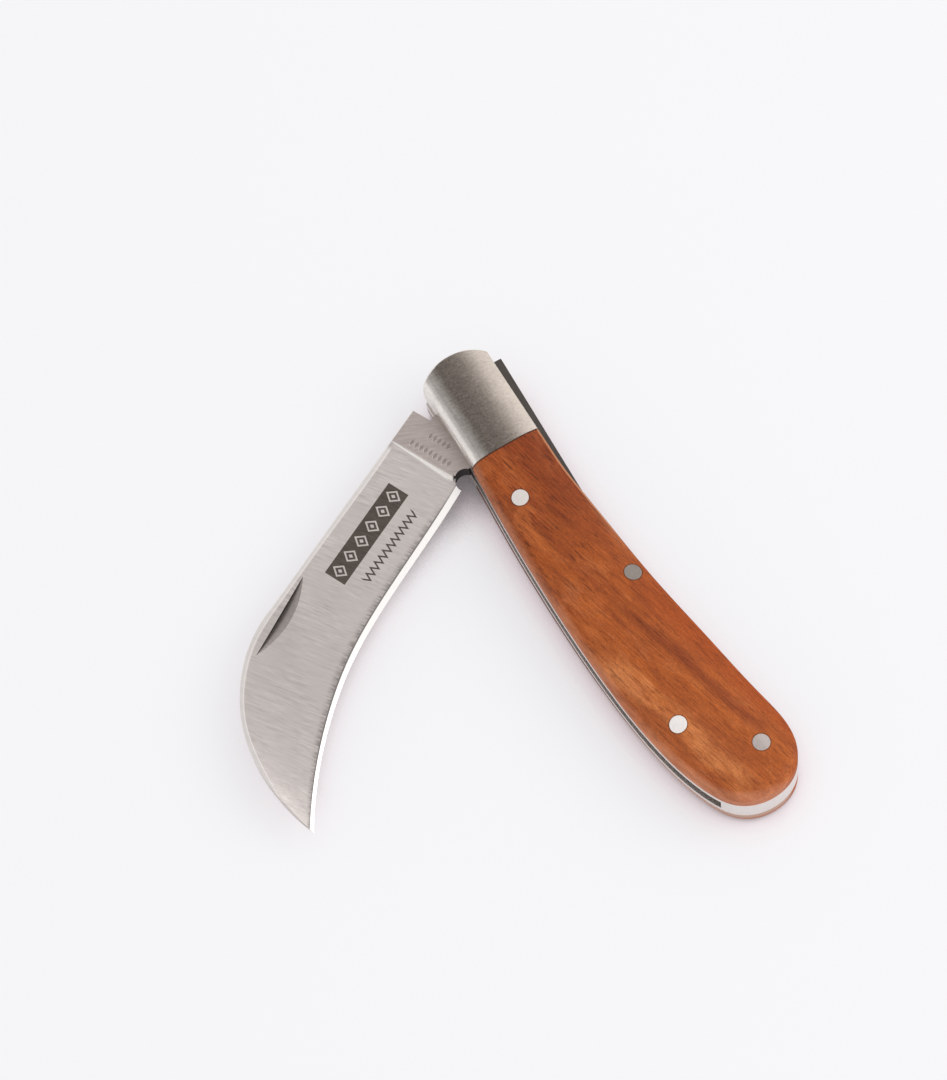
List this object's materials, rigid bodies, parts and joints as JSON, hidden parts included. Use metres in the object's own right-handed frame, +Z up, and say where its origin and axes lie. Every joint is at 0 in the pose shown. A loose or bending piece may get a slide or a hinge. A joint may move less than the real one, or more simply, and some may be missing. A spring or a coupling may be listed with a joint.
{
  "type": "folding whittling knife",
  "caption": "Slip-joint folding knife with a hooked hawkbill blade, steel bolsters and rounded wooden handle scales, shown part open.",
  "frame": {"origin": "on the plane the knife rests on, under the middle of the blade's pivot pin", "axes": "+X from the pivot towards the butt along the bolster, +Y towards the back of the handle where the spring is, +Z up along the pivot pin"},
  "size_m": [0.098, 0.0798, 0.013],
  "materials": {
    "blade_steel": "satin, fine brush lines across the blade",
    "bolster_steel": "satin, brushed along the handle",
    "liner_steel": "bright satin on the cut edge",
    "spring_steel": "plain ground steel",
    "pin_steel": "dull satin, ends ground flush",
    "rivet_aluminium": "bright satin, ends ground flush",
    "scale_wood": "oiled reddish brown hardwood, straight grain along the handle"
  },
  "bodies": {
    "handle": {"liner_left": "liner_steel", "liner_right": "liner_steel", "bolster_left": "bolster_steel", "bolster_right": "bolster_steel", "scale_left": "scale_wood", "scale_right": "scale_wood", "scale_rivet_front_left": "rivet_aluminium", "scale_rivet_front_right": "rivet_aluminium", "scale_rivet_rear_left": "rivet_aluminium", "scale_rivet_rear_right": "rivet_aluminium", "bolster_rivet_left": "pin_steel", "bolster_rivet_right": "pin_steel", "spring_anchor_pin": "pin_steel", "back_spring_root": "spring_steel"},
    "pivot_pin": {"pivot_pin": "pin_steel"},
    "blade": {"blade": "blade_steel"},
    "fulcrum_pin": {"spring_fulcrum_pin": "pin_steel"},
    "spring_arm": {"back_spring_arm": "spring_steel"}
  },
  "joints": [
    {"name": "blade_close", "type": "hinge", "parent": "handle", "child": "pivot_pin", "pos_m": [0, 0, 0.0065], "axis": [0, 0, -1], "range_deg": [-52, 0]},
    {"name": "blade_open", "type": "hinge", "parent": "pivot_pin", "child": "blade", "pos_m": [0, 0, 0.0065], "axis": [0, 0, -1], "range_deg": [0, 116]},
    {"name": "spring_seat_opening", "type": "hinge", "parent": "handle", "child": "fulcrum_pin", "pos_m": [0.0435, 0.0077, 0.0065], "axis": [0, 0, 1], "range_deg": [0, 1.96]},
    {"name": "spring_seat_closing", "type": "hinge", "parent": "fulcrum_pin", "child": "spring_arm", "pos_m": [0.0435, 0.0077, 0.0065], "axis": [0, 0, 1], "range_deg": [0, 1.96]}
  ],
  "couplings": [
    {"joint": "spring_seat_opening", "follows": "blade_open", "ratio": 0.01681},
    {"joint": "spring_seat_closing", "follows": "blade_close", "ratio": -0.0375}
  ]
}
